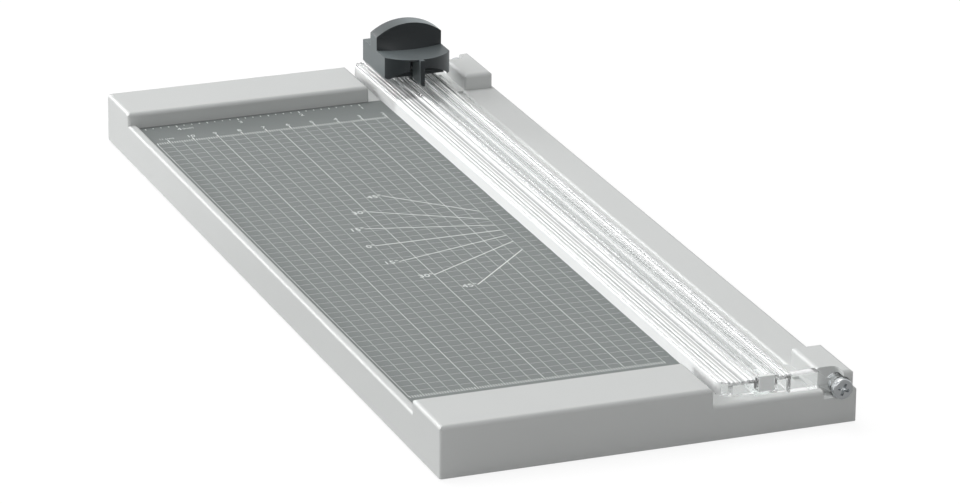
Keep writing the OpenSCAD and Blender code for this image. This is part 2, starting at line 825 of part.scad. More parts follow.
// Plan of the head with its rounded prow, drawn in by a margin
module head_plan(margin) {
  prow_r = arc_r(head_w / 2, prow_l);
  intersection() {
    box2(head_x0 + margin, head_x1 - margin, head_y0 - prow_l, head_y1 - margin);
    translate([cut_x, head_y0 - prow_l + prow_r]) {
      circle(prow_r - margin, $fn = 96);
      box2(-head_w, head_w, 0, head_l);
    }
  }
}

// Plan of the fin's foot at a share of its height, reaching out less towards its top
module foot_plan(share) {
  reach = foot_out * pow(1 - share, 2);
  left = [head_x0, fin_y0];
  right = [head_x1, fin_y0];
  back = [0, fin_t / 2];
  polygon(concat(bow(left, right, reach), [right, right + back, left + back]));
}

// Fin with an arched top and a scooped foot at its front
module fin() {
  foot_steps = 4;
  slice = 0.02;
  crown_r = arc_r(head_w / 2, fin_crown);
  z0 = head_z1 - head_wall / 2;
  intersection() {
    along_y(fin_y0 - foot_out, fin_y1) intersection() {
      box2(head_x0, head_x1, z0, fin_z1);
      translate([cut_x, fin_z1 - crown_r]) circle(crown_r, $fn = 96);
    }
    union() {
      box3(head_x0, head_x1, fin_y0, fin_y1, z0, fin_z1);
      translate([0, 0, z0]) linear_extrude(head_z1 - z0 + slice) foot_plan(0);
      for (k = [0 : foot_steps - 1]) hull() for (share = [k, k + 1] / foot_steps)
        translate([0, 0, head_z1 + foot_h * share]) linear_extrude(slice) foot_plan(share);
    }
  }
}

// Bosses under the cover's roof that take the fork screws
module fork_bosses() {
  at_fork_screws() translate([0, 0, flange_top]) difference() {
    cylinder(h = roof_z - flange_top + head_wall / 2, d = boss_d);
    translate([0, 0, -cut_over])
      cylinder(h = fork_screw_reach + fit_gap + cut_over, d = fork_screw_d + 2 * run_gap);
  }
}

module head_cover() {
  arch_rise = 5;
  arch_r = arc_r(head_w / 2 - head_wall, arch_rise);
  slot_y1 = head_y0 - prow_l + 2 * head_wall;
  notch = channel_out + 2;
  notch_y = head_y1 - 2 * head_wall;
  notch_top = lip_z + press_travel + slide_gap;
  color(head_grey) {
    difference() {
      union() {
        translate([0, 0, head_z0]) linear_extrude(head_z1 - head_z0) head_plan(0);
        fin();
      }
      translate([0, 0, head_z0 - cut_over]) linear_extrude(roof_z - head_z0 + cut_over) head_plan(head_wall);
      along_y(nose_y - cut_over, head_y0 + head_wall)
        translate([cut_x, head_z0 + arch_rise - arch_r]) circle(arch_r, $fn = 96);
      box3(keel_x0 - keel_slot, keel_x0, nose_y, slot_y1, head_z0 - cut_over, roof_z + head_wall / 2);
      box3(cut_x - notch, cut_x + notch, notch_y, head_y1 + cut_over, head_z0 - cut_over, notch_top);
      at_fork_screws() translate([0, 0, flange_top])
        cylinder(h = fork_screw_reach + fit_gap, d = fork_screw_d + 2 * run_gap);
    }
    box3(keel_x0, keel_x0 + keel_w, nose_y, head_y0, keel_z, head_z1);
    fork_bosses();
  }
}

// Cylinder about the blade's axis
module on_axle(d, l) {
  translate([cut_x - l / 2, blade_y, blade_z]) rotate([0, 90, 0]) cylinder(h = l, d = d);
}

module blade_fork() {
  out = leg_x + leg_t;
  leg = leg_l / 2;
  z0 = blade_z - leg_drop;
  reach = flange_l / 2;
  slot = flange_slot / 2;
  color(head_grey) difference() {
    union() {
      box3(cut_x - flange_half, cut_x + flange_half, blade_y - reach, blade_y + reach, flange_z, flange_top);
      box3(cut_x - out, cut_x + out, blade_y - leg, blade_y + leg, z0, flange_z + flange_t / 2);
    }
    box3(cut_x - leg_x, cut_x + leg_x, blade_y - leg_l, blade_y + leg_l, z0 - cut_over, flange_z);
    box3(cut_x - leg_x, cut_x + leg_x, blade_y - slot, blade_y + slot, z0, flange_top + cut_over);
    on_axle(axle_d, head_w);
    at_posts() translate([0, 0, flange_z - cut_over])
      cylinder(h = flange_t + 2 * cut_over, d = post_d + 2 * run_gap);
    at_fork_screws() translate([0, 0, flange_z - cut_over])
      cylinder(h = flange_t + 2 * cut_over, d = fork_screw_d + 2 * run_gap);
  }
}

module fork_screws() {
  color(zinc) at_fork_screws() translate([0, 0, flange_z]) {
    cylinder(h = flange_t + fork_screw_reach, d = fork_screw_d);
    translate([0, 0, -fork_head_h]) cylinder(h = fork_head_h, d = fork_head_d);
  }
}

module blade_axle() {
  color(blade_steel) on_axle(axle_d, 2 * (leg_x + leg_t));
}

module blade_hub() {
  color(brass) difference() {
    on_axle(hub_d, blade_t + leg_gap);
    on_axle(axle_d + 2 * run_gap, blade_t + 2 * leg_gap);
  }
}

module cutting_blade() {
  bevel = 1.2;
  edge_t = 0.1;
  r = blade_d / 2;
  half = blade_t / 2;
  color(blade_steel) difference() {
    translate([cut_x, blade_y, blade_z]) rotate([0, 90, 0]) rotate_extrude($fn = 96) polygon([
      [0, -half], [r - bevel, -half], [r, -edge_t / 2], [r, edge_t / 2], [r - bevel, half], [0, half]
    ]);
    on_axle(hub_d, head_w);
  }
}

base_housing();
bottom_plate();
bottom_screws();
rubber_feet();
printed_bed();
cutting_mat();
threaded_inserts();
hinge_bushes();
hinge_washers();
spring_washers();
hinge_screws();
clear_rail();
grip_strip();
near_stop();
far_stop();
slider_deck();
guide_posts();
post_clips();
press_springs();
head_cover();
blade_fork();
fork_screws();
blade_axle();
blade_hub();
cutting_blade();
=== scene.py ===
"""Looks of a sliding-blade paper trimmer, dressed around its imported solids.

The base, the clear rail and the carriage keep the places that the solids give them. Each sub-assembly is a
class: it holds its own sizes, models the pieces that the solids leave out or leave sharp, and dresses the
rest. X runs across the cut, Y runs along the cut towards the fence, Z is up. Sizes in the classes are
millimetres.
"""

import logging
import math
from dataclasses import dataclass, field
from enum import Enum
from typing import Any, Iterable, Optional

import bmesh
import bpy
from mathutils import Matrix, Vector


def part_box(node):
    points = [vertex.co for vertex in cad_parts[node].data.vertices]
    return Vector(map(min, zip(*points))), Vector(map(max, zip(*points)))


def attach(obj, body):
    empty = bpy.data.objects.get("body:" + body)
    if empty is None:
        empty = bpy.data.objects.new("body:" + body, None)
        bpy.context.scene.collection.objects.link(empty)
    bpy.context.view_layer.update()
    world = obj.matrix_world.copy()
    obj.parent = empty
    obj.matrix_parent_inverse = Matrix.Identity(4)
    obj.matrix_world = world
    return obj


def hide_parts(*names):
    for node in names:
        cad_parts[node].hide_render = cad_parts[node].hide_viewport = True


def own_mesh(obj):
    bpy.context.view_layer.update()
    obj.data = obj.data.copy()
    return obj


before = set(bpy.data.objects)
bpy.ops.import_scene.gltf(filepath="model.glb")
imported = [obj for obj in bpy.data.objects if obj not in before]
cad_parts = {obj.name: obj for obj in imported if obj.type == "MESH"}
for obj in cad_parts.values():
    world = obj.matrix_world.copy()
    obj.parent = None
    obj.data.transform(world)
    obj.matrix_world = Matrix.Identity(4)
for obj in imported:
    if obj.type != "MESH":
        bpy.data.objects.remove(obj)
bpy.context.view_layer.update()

MM = 0.001
LOG = logging.getLogger("trimmer")
WHITE = "#ffffff"
# Edges flatter than this are shaded smooth.
SMOOTH_DEG = 35.0
# In a copy of a solid, points nearer than this become one point, and faces flatter than this one face.
JOIN_MM = 0.002
FLAT_DEG = 0.5
# Segments of a rounded edge, and of each curved stretch of a printed letter.
ROUND_STEPS = 3
LETTER_STEPS = 3
# Sockets of a Mix node that mixes two colours.
MIX_FIRST, MIX_SECOND, MIX_RESULT = 6, 7, 2


class Body(Enum):
    """The rigid bodies that the new pieces ride on."""

    BASE = "base"
    SLIDER = "slider"
    HEAD = "head"


class Reading(Enum):
    """Which part of a printed word stands at its place."""

    CENTRED = "CENTER"
    FROM_LEFT = "LEFT"
    TO_RIGHT = "RIGHT"


# Colours and nodes


def linear(code: str) -> tuple[float, float, float, float]:
    """Turns an sRGB hex colour into linear values.

    Args:
        code: Colour as "#rrggbb".

    Returns:
        Linear red, green and blue, and an alpha of 1.
    """
    parts = [int(code[i : i + 2], 16) / 255 for i in (1, 3, 5)]
    red, green, blue = [c / 12.92 if c <= 0.04045 else ((c + 0.055) / 1.055) ** 2.4 for c in parts]
    return red, green, blue, 1.0


def add_node(
    tree: bpy.types.NodeTree,
    kind: str,
    settings: Optional[dict[str, Any]] = None,
    sockets: Optional[dict[Any, Any]] = None,
) -> bpy.types.Node:
    """Adds one node, with its settings, its values and its links.

    Args:
        tree: Node tree that takes the node.
        kind: Blender's name for the node type.
        settings: Attributes of the node, by name.
        sockets: Inputs by name or number: an output socket is linked, anything else is set.

    Returns:
        The new node.
    """
    node = tree.nodes.new(kind)
    for name, value in (settings or {}).items():
        setattr(node, name, value)
    for name, value in (sockets or {}).items():
        if isinstance(value, bpy.types.NodeSocket):
            tree.links.new(value, node.inputs[name])
        else:
            node.inputs[name].default_value = value
    return node


# Finishes


@dataclass(frozen=True)
class Finish:
    """A surface: what it is made of, its colour and the size of its texture.

    The grain is the fine texture of the surface, and the drift is the slow change of tone across a piece.
    """

    name: str
    colour: str
    shade: str
    roughness: float
    spread: float = 0.06
    ior: float = 1.5
    shine: float = 0.5
    sheen: float = 0.0
    metallic: float = 0.0
    grain_mm: float = 0.5
    depth_mm: float = 0.01
    drift_mm: float = 60.0
    grain_detail: float = 3.0
    drift_detail: float = 2.0
    sheen_rough: float = 0.4
    sheen_tint: str = "#e2eff1"

    def grain(self, tree: bpy.types.NodeTree, place: bpy.types.NodeSocket) -> bpy.types.Node:
        """Adds the fine texture.

        Args:
            tree: Node tree of the material.
            place: Object coordinates.

        Returns:
            The noise node that gives the grain.
        """
        return add_node(tree, "ShaderNodeTexNoise", None, {
            "Vector": place, "Scale": 1 / (self.grain_mm * MM), "Detail": self.grain_detail,
        })

    def tone(self, tree: bpy.types.NodeTree, place: bpy.types.NodeSocket) -> bpy.types.NodeSocket:
        """Adds the colour, which drifts slowly across a piece.

        Args:
            tree: Node tree of the material.
            place: Object coordinates.

        Returns:
            The output that carries the colour.
        """
        drift = add_node(tree, "ShaderNodeTexNoise", None, {
            "Vector": place, "Scale": 1 / (self.drift_mm * MM), "Detail": self.drift_detail,
        })
        mix = add_node(tree, "ShaderNodeMix", {"data_type": "RGBA"}, {
            "Factor": drift.outputs["Fac"], MIX_FIRST: linear(self.shade), MIX_SECOND: linear(self.colour),
        })
        return mix.outputs[MIX_RESULT]

    def further(self, tree: bpy.types.NodeTree, place: bpy.types.NodeSocket) -> None:
        """Adds what only some finishes have; a plain one has nothing more.

        Args:
            tree: Node tree of the material.
            place: Object coordinates.
        """

    def material(self) -> bpy.types.Material:
        """Builds the material once, and gives the same one afterwards.

        Returns:
            The finished material.
        """
        known = bpy.data.materials.get(self.name)
        if known:
            return known
        made = bpy.data.materials.new(self.name)
        made.use_nodes = True
        tree = made.node_tree
        shader = tree.nodes["Principled BSDF"]
        place = add_node(tree, "ShaderNodeTexCoord").outputs["Object"]
        grain = self.grain(tree, place)
        rough = add_node(tree, "ShaderNodeMapRange", None, {
            "Value": grain.outputs["Fac"],
            "To Min": max(0.0, self.roughness - self.spread),
            "To Max": self.roughness + self.spread,
        })
        bump = add_node(tree, "ShaderNodeBump", None, {
            "Height": grain.outputs["Fac"], "Distance": self.depth_mm * MM, "Strength": 1.0,
        })
        tree.links.new(self.tone(tree, place), shader.inputs["Base Color"])
        tree.links.new(rough.outputs["Result"], shader.inputs["Roughness"])
        tree.links.new(bump.outputs["Normal"], shader.inputs["Normal"])
        for name, value in (
            ("IOR", self.ior), ("Specular IOR Level", self.shine), ("Metallic", self.metallic),
            ("Sheen Weight", self.sheen), ("Sheen Roughness", self.sheen_rough),
            ("Sheen Tint", linear(self.sheen_tint)),
        ):
            shader.inputs[name].default_value = value
        self.further(tree, place)
        return made


@dataclass(frozen=True)
class ClearFinish(Finish):
    """Clear moulded plastic of the rail, with painted shade and painted highlight lines on its top.

    Fine dark and white lines run along the top: painted shade and painted highlight, standing in for the
    light and shade on the rail's ridges.
    The top is hazy at both sides of the channel, and two upright walls are frosted: the outer wall at the
    left, and the upper part of the channel's wall at the right.
    Beside the parked carriage, at the far end, the top has no haze and the walls have less frost, so that the
    rail renders
    darker there: painted shade for the carriage's shadow and reflection, which stays at the far end when the
    carriage slides.
    """

    # Shares of light that pass, and what whitens or dulls them
    polished: float = 0.95
    hazed_left: float = 0.5
    hazed_right: float = 0.68
    # How much the painted highlight lines whiten the top
    whitened: float = 0.6
    frosted: float = 0.03
    # Frost left on the walls in the painted shade beside the parked carriage
    far_frost: float = 0.65
    frost_rough: float = 0.5
    # Places on the rail
    outer_wall: float = 26.05
    outer_reach: float = 1.0
    channel_left: float = 38.95
    channel_right: float = 46.35
    channel_reach: float = 0.2
    channel_wall: float = 1.4
    haze_edge: float = 0.5
    frost_low: float = 18.8
    top: float = 21.0
    top_skin: float = 0.4
    # Where the painted shade beside the parked carriage begins, and the length over which it fades in
    clear_from: float = 134.5
    clear_fade: float = 4.0
    # How far a wall's face turns to the side where frost begins and where it is full
    upright_from: float = 0.7
    upright_full: float = 0.9
    # Painted shade and painted highlight lines: their spacing, and the values of the noise at which one
    # begins and is full
    line_mm: float = 1.3
    line_shade: str = "#bfc3c2"
    dark_span: tuple[float, float] = (0.48, 0.36)
    white_span: tuple[float, float] = (0.52, 0.66)

    def lines(
        self, tree: bpy.types.NodeTree, place: bpy.types.NodeSocket, span: tuple[float, float]
    ) -> bpy.types.NodeSocket:
        """Adds fine lines along the rail's top, for painted shade or painted highlight.

        Args:
            tree: Node tree of the material.
            place: Object coordinates.
            span: Noise values at which a line begins and at which it is full.

        Returns:
            The output that is 1 on a line and 0 elsewhere.
        """
        begins, full = span
        at = add_node(tree, "ShaderNodeSeparateXYZ", None, {0: place})
        noise = add_node(tree, "ShaderNodeTexNoise", {"noise_dimensions": "1D"}, {
            "W": at.outputs["X"], "Scale": 1 / (self.line_mm * MM), "Detail": self.grain_detail,
        })
        line = add_node(tree, "ShaderNodeMapRange", None, {
            "Value": noise.outputs["Fac"], "From Min": begins, "From Max": full,
        })
        return self.only_on_top(tree, at, line.outputs["Result"])

    def only_on_top(
        self, tree: bpy.types.NodeTree, at: bpy.types.Node, value: bpy.types.NodeSocket
    ) -> bpy.types.NodeSocket:
        """Keeps a value on the rail's top and makes it 0 below.

        Args:
            tree: Node tree of the material.
            at: Node that splits the object coordinates.
            value: The value.

        Returns:
            The output that carries the kept value.
        """
        on_top = add_node(tree, "ShaderNodeMath", {"operation": "GREATER_THAN"}, {
            0: at.outputs["Z"], 1: (self.top - self.top_skin) * MM,
        })
        kept = add_node(tree, "ShaderNodeMath", {"operation": "MULTIPLY"}, {0: value, 1: on_top.outputs[0]})
        return kept.outputs[0]

    def tone(self, tree: bpy.types.NodeTree, place: bpy.types.NodeSocket) -> bpy.types.NodeSocket:
        """Adds painted shade: fine darker lines along the top, and a plain clear tint elsewhere.

        Args:
            tree: Node tree of the material.
            place: Object coordinates.

        Returns:
            The output that carries the colour.
        """
        mix = add_node(tree, "ShaderNodeMix", {"data_type": "RGBA"}, {
            "Factor": self.lines(tree, place, self.dark_span),
            MIX_FIRST: linear(self.colour), MIX_SECOND: linear(self.line_shade),
        })
        return mix.outputs[MIX_RESULT]

    def marked(self, tree: bpy.types.NodeTree, at: bpy.types.Node, least: float) -> bpy.types.NodeSocket:
        """Adds a value of 1 along the rail and less at its far end, beside the parked carriage, where its
        shade is painted.

        Args:
            tree: Node tree of the material.
            at: Node that splits the object coordinates.
            least: The value at the far end.

        Returns:
            The output that carries the value.
        """
        fade = add_node(tree, "ShaderNodeMapRange", None, {
            "Value": at.outputs["Y"],
            "From Min": self.clear_from * MM, "From Max": (self.clear_from + self.clear_fade) * MM,
            "To Min": 1.0, "To Max": least,
        })
        return fade.outputs["Result"]

    def haze(self, tree: bpy.types.NodeTree, at: bpy.types.Node) -> bpy.types.NodeSocket:
        """Adds how much light the top stops: more at the left of the channel, less at its right, and none at
        the far end, where the parked carriage's shade is painted.

        Args:
            tree: Node tree of the material.
            at: Node that splits the object coordinates.

        Returns:
            The output that carries the share of light.
        """
        left = add_node(tree, "ShaderNodeMapRange", None, {
            "Value": at.outputs["X"],
            "From Min": (self.channel_left - self.haze_edge) * MM, "From Max": self.channel_left * MM,
            "To Min": 1 - self.hazed_left, "To Max": 0.0,
        })
        right_edge = self.channel_right + self.channel_wall
        right = add_node(tree, "ShaderNodeMapRange", None, {
            "Value": at.outputs["X"],
            "From Min": right_edge * MM, "From Max": (right_edge + self.haze_edge) * MM,
            "To Min": 0.0, "To Max": 1 - self.hazed_right,
        })
        sides = add_node(tree, "ShaderNodeMath", {"operation": "ADD"}, {
            0: left.outputs["Result"], 1: right.outputs["Result"],
        })
        hazed = add_node(tree, "ShaderNodeMath", {"operation": "MULTIPLY"}, {
            0: sides.outputs[0], 1: self.marked(tree, at, 0.0),
        })
        return self.only_on_top(tree, at, hazed.outputs[0])

    def frost(self, tree: bpy.types.NodeTree, at: bpy.types.Node) -> bpy.types.NodeSocket:
        """Adds a value of 1 on the two frosted walls, less at their far end, where the parked carriage's
        shade is painted, and 0 elsewhere.

        Args:
            tree: Node tree of the material.
            at: Node that splits the object coordinates.

        Returns:
            The output that carries the value.
        """
        facing = add_node(tree, "ShaderNodeTexCoord").outputs["Normal"]
        across = add_node(tree, "ShaderNodeSeparateXYZ", None, {0: facing}).outputs["X"]
        sideways = add_node(tree, "ShaderNodeMath", {"operation": "ABSOLUTE"}, {0: across})
        upright = add_node(tree, "ShaderNodeMapRange", None, {
            "Value": sideways.outputs[0], "From Min": self.upright_from, "From Max": self.upright_full,
        })
        outer = add_node(tree, "ShaderNodeMath", {"operation": "COMPARE"}, {
            0: at.outputs["X"], 1: self.outer_wall * MM, 2: self.outer_reach * MM,
        })
        inner = add_node(tree, "ShaderNodeMath", {"operation": "COMPARE"}, {
            0: at.outputs["X"], 1: self.channel_right * MM, 2: self.channel_reach * MM,
        })
        high = add_node(tree, "ShaderNodeMath", {"operation": "GREATER_THAN"}, {
            0: at.outputs["Z"], 1: self.frost_low * MM,
        })
        upper = add_node(tree, "ShaderNodeMath", {"operation": "MULTIPLY"}, {
            0: inner.outputs[0], 1: high.outputs[0],
        })
        walls = add_node(tree, "ShaderNodeMath", {"operation": "MAXIMUM"}, {
            0: outer.outputs[0], 1: upper.outputs[0],
        })
        faces = add_node(tree, "ShaderNodeMath", {"operation": "MULTIPLY"}, {
            0: walls.outputs[0], 1: upright.outputs["Result"],
        })
        kept = add_node(tree, "ShaderNodeMath", {"operation": "MULTIPLY"}, {
            0: faces.outputs[0], 1: self.marked(tree, at, self.far_frost),
        })
        return kept.outputs[0]

    def further(self, tree: bpy.types.NodeTree, place: bpy.types.NodeSocket) -> None:
        """Adds how much light passes: most where polished, less where hazed or on a painted highlight line,
        little where frosted.

        Args:
            tree: Node tree of the material.
            place: Object coordinates.
        """
        shader = tree.nodes["Principled BSDF"]
        at = add_node(tree, "ShaderNodeSeparateXYZ", None, {0: place})
        frost = self.frost(tree, at)
        clear = add_node(tree, "ShaderNodeMath", {"operation": "SUBTRACT"}, {
            0: self.polished, 1: self.haze(tree, at),
        })
        # Painted highlight: less light passes on the white lines, so the top shows whiter there
        white = add_node(tree, "ShaderNodeMath", {"operation": "MULTIPLY"}, {
            0: self.lines(tree, place, self.white_span), 1: self.whitened,
        })
        lined = add_node(tree, "ShaderNodeMath", {"operation": "SUBTRACT", "use_clamp": True}, {
            0: clear.outputs[0], 1: white.outputs[0],
        })
        passed = add_node(tree, "ShaderNodeMapRange", None, {
            "Value": frost, "To Min": lined.outputs[0], "To Max": self.frosted,
        })
        rough = add_node(tree, "ShaderNodeMapRange", None, {
            "Value": frost, "To Min": self.roughness, "To Max": self.frost_rough,
        })
        tree.links.new(passed.outputs["Result"], shader.inputs["Transmission Weight"])
        tree.links.new(rough.outputs["Result"], shader.inputs["Roughness"])


@dataclass(frozen=True)
class BrushedFinish(Finish):
    """Metal with fine lines across it, from a grinding wheel or a lathe."""

    stretch: float = 14.0
    grain_detail: float = 2.0

    def grain(self, tree: bpy.types.NodeTree, place: bpy.types.NodeSocket) -> bpy.types.Node:
        """Adds lines that are long along X and Z and narrow along Y.

        Args:
            tree: Node tree of the material.
            place: Object coordinates.

        Returns:
            The noise node that gives the lines.
        """
        long = 1 / (self.grain_mm * self.stretch * MM)
        narrow = 1 / (self.grain_mm * MM)
        lines = add_node(tree, "ShaderNodeMapping", None, {"Vector": place, "Scale": (long, narrow, long)})
        return add_node(tree, "ShaderNodeTexNoise", None, {
            "Vector": lines.outputs[0], "Scale": 1.0, "Detail": self.grain_detail,
        })


# Pale grey ABS, spark-eroded mould: a satin face with a fine even grain that softens every highlight.
# The real grain is near 0.1 mm; it is drawn coarser so that it shows.
SHELL = Finish(
    "moulded_grey_abs", "#ced0cf", "#c9cbca", 0.45, ior=1.54, shine=0.4, grain_mm=0.45, depth_mm=0.006
)
# Calendered polypropylene sheet with grey print: flat, dull, with a slight mottle of the ink.
SHEET = Finish(
    "printed_grey_sheet", "#848988", "#7e8382", 0.66, ior=1.49, shine=0.3, grain_mm=0.7, depth_mm=0.004
)
# Screen-printed pale ink: matt, with a slightly uneven cover.
INK = Finish("pale_screen_ink", "#f0f4f2", "#e5eae8", 0.6, grain_mm=0.4, depth_mm=0.003, drift_mm=9)
# Soft PVC strip that the blade runs on: pale, dull, and a little scored.
MAT = Finish("soft_pvc_strip", "#bfc3c2", "#b1b5b4", 0.6, ior=1.53, drift_mm=12)
# Clear polystyrene, polished mould: bright, with slow waves from the flow of the melt.
CLEAR = ClearFinish("clear_moulded_polystyrene", "#fdfefe", "#fdfefe", 0.06, ior=1.45, grain_mm=14)
# Near-white ABS of the channel stops, polished: a little brighter than the housing.
PALE = Finish("moulded_pale_abs", "#eff2f1", "#e8ebea", 0.35, ior=1.54, depth_mm=0.004, drift_mm=10)
# Dark grey ABS, fine mould grain: satin, with soft broad highlights.
DARK = Finish(
    "moulded_dark_abs", "#23292c", "#1f2528", 0.42, sheen=0.68, grain_mm=0.4, depth_mm=0.004, drift_mm=14
)
# Zinc-plated steel screw stock: bright, with turned lines.
ZINC = BrushedFinish(
    "zinc_plated_steel", "#dcdfe1", "#cbcfd1", 0.26, 0.08, metallic=1, grain_mm=0.25, drift_mm=3
)
# Ground spring steel: smoother than the zinc.
STEEL = BrushedFinish("ground_steel", "#d3d6d8", "#c4c8ca", 0.2, 0.07, metallic=1, grain_mm=0.2, drift_mm=4)
# Turned brass, slightly dulled.
BRASS = BrushedFinish("turned_brass", "#c6a961", "#ad9150", 0.3, 0.08, metallic=1, grain_mm=0.2, drift_mm=4)
# Moulded black rubber: dull, with a dusty bloom.
RUBBER = Finish("moulded_rubber", "#2c2e2f", "#242627", 0.75, ior=1.52, depth_mm=0.02, drift_mm=8)
# Grey powder coat on sheet steel: a fine orange peel.
COAT = Finish("grey_powder_coat", "#8a8e8e", "#828686", 0.5, grain_mm=1.2, depth_mm=0.03)


# Pieces


def show_piece(
    name: str,
    shape: bmesh.types.BMesh,
    finish: Finish,
    body: Body,
    stands_for: Iterable[str] = (),
) -> bpy.types.Object:
    """Makes a piece from a finished bmesh, rides it on its body and dresses it.

    Args:
        name: Name of the piece.
        shape: Its mesh, in the row frame, in metres; it is freed here.
        finish: Its surface.
        body: The body that it moves with.
        stands_for: CAD nodes that it replaces.

    Returns:
        The new object.
    """
    mesh = bpy.data.meshes.new(name)
    shape.to_mesh(mesh)
    shape.free()
    for face in mesh.polygons:
        face.use_smooth = True
    mesh.set_sharp_from_angle(angle=math.radians(SMOOTH_DEG))
    piece = bpy.data.objects.new(name, mesh)
    bpy.context.scene.collection.objects.link(piece)
    mesh.materials.append(finish.material())
    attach(piece, body.value)
    nodes = list(stands_for)
    if nodes:
        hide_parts(*nodes)
    LOG.info("%s on %s: %d faces", name, body.value, len(mesh.polygons))
    return piece


def dress_node(node: str, finish: Finish) -> None:
    """Gives a carried-over node its finish.

    Args:
        node: Name of the CAD node.
        finish: Its surface.
    """
    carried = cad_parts[node]
    for place in carried.material_slots:
        place.material = finish.material()
    LOG.info("%s carried over in %s", node, finish.name)


def merged_copy(node: str) -> bmesh.types.BMesh:
    """Copies a node's loose triangles into one joined mesh of large faces.

    Args:
        node: Name of the CAD node.

    Returns:
        The joined copy.
    """
    shape = bmesh.new()
    shape.from_mesh(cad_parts[node].data)
    bmesh.ops.remove_doubles(shape, verts=shape.verts, dist=JOIN_MM * MM)
    bmesh.ops.dissolve_limit(
        shape, angle_limit=math.radians(FLAT_DEG), verts=shape.verts, edges=shape.edges,
        use_dissolve_boundaries=False,
    )
    return shape


def add_bar(
    shape: bmesh.types.BMesh, start: Vector, end: Vector, width: float, low: float, high: float
) -> None:
    """Adds a flat bar between two points on the bed.

    Args:
        shape: Mesh that takes the bar.
        start: First end, in millimetres.
        end: Second end, in millimetres.
        width: Width of the bar, in millimetres.
        low: Height of its underside, in millimetres.
        high: Height of its top, in millimetres.
    """
    way = end - start
    middle = (start + end) / 2
    turn = Matrix.Rotation(math.atan2(way.y, way.x), 4, "Z")
    size = Matrix.Diagonal((way.length * MM, width * MM, (high - low) * MM, 1))
    place = Matrix.Translation((middle.x * MM, middle.y * MM, (low + high) / 2 * MM))
    bmesh.ops.create_cube(shape, size=1, matrix=place @ turn @ size)


def add_label(
    shape: bmesh.types.BMesh, words: str, at: Vector, height: float, thick: float, reading: Reading
) -> None:
    """Adds one printed number or unit, flat on the bed.

    Args:
        shape: Mesh that takes the letters.
        words: What is printed.
        at: Place of the words on the bed, at half the letters' height, in millimetres.
        height: Size of the letters, in millimetres.
        thick: Thickness of the ink, in millimetres.
        reading: Which part of the words stands at the place.
    """
    letters = bpy.data.curves.new("letters", "FONT")
    letters.body = words
    letters.size = height * MM
    letters.extrude = thick / 2 * MM
    letters.align_x = reading.value
    letters.align_y = "CENTER"
    letters.resolution_u = LETTER_STEPS
    holder = bpy.data.objects.new("letters", letters)
    bpy.context.scene.collection.objects.link(holder)
    shown = holder.evaluated_get(bpy.context.evaluated_depsgraph_get())
    mesh = bpy.data.meshes.new_from_object(shown)
    mesh.transform(Matrix.Translation(at * MM))
    shape.from_mesh(mesh)
    bpy.data.objects.remove(holder)
    bpy.data.curves.remove(letters)
    bpy.data.meshes.remove(mesh)


# Sub-assemblies


@dataclass
class Base:
    """The grey housing with what closes it, stands under it and lies on it."""

    foot_edge: float = 0.5
    foot_rim_deg: float = 60.0
    recess_depth: float = 1.02
    recess_taper: float = 1.2
    recess_reach: float = 0.1
    recess_facing: float = 0.99

    def build(self) -> None:
        """Dresses the housing and what is fixed to it, and models the feet and the hinge screws."""
        for node, finish in (
            ("base_housing", SHELL), ("bottom_plate", COAT), ("bottom_screws", ZINC), ("printed_bed", SHEET),
            ("cutting_mat", MAT), ("threaded_inserts", ZINC), ("hinge_bushes", ZINC), ("hinge_washers", ZINC),
            ("spring_washers", STEEL),
        ):
            dress_node(node, finish)
        self.feet()
        self.screws()

    def feet(self) -> None:
        """Rounds the rims of the rubber feet."""
        shape = merged_copy("rubber_feet")
        rims = [e for e in shape.edges if e.calc_face_angle(0) > math.radians(self.foot_rim_deg)]
        bmesh.ops.bevel(
            shape, geom=rims, offset=self.foot_edge * MM, affect="EDGES", segments=ROUND_STEPS, profile=0.5,
            material=-1,
        )
        show_piece("moulded_feet", shape, RUBBER, Body.BASE, ["rubber_feet"])

    def screws(self) -> None:
        """Tapers the floor of the cross recess in both hinge screws."""
        shape = merged_copy("hinge_screws")
        floor_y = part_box("hinge_screws")[1].y - self.recess_depth * MM
        floors = [
            f for f in shape.faces
            if abs(f.normal.y) > self.recess_facing
            and abs(abs(f.calc_center_median().y) - floor_y) < self.recess_reach * MM
        ]
        bmesh.ops.poke(shape, faces=floors, offset=-self.recess_taper * MM, center_mode="MEAN")
        show_piece("driven_screws", shape, ZINC, Body.BASE, ["hinge_screws"])


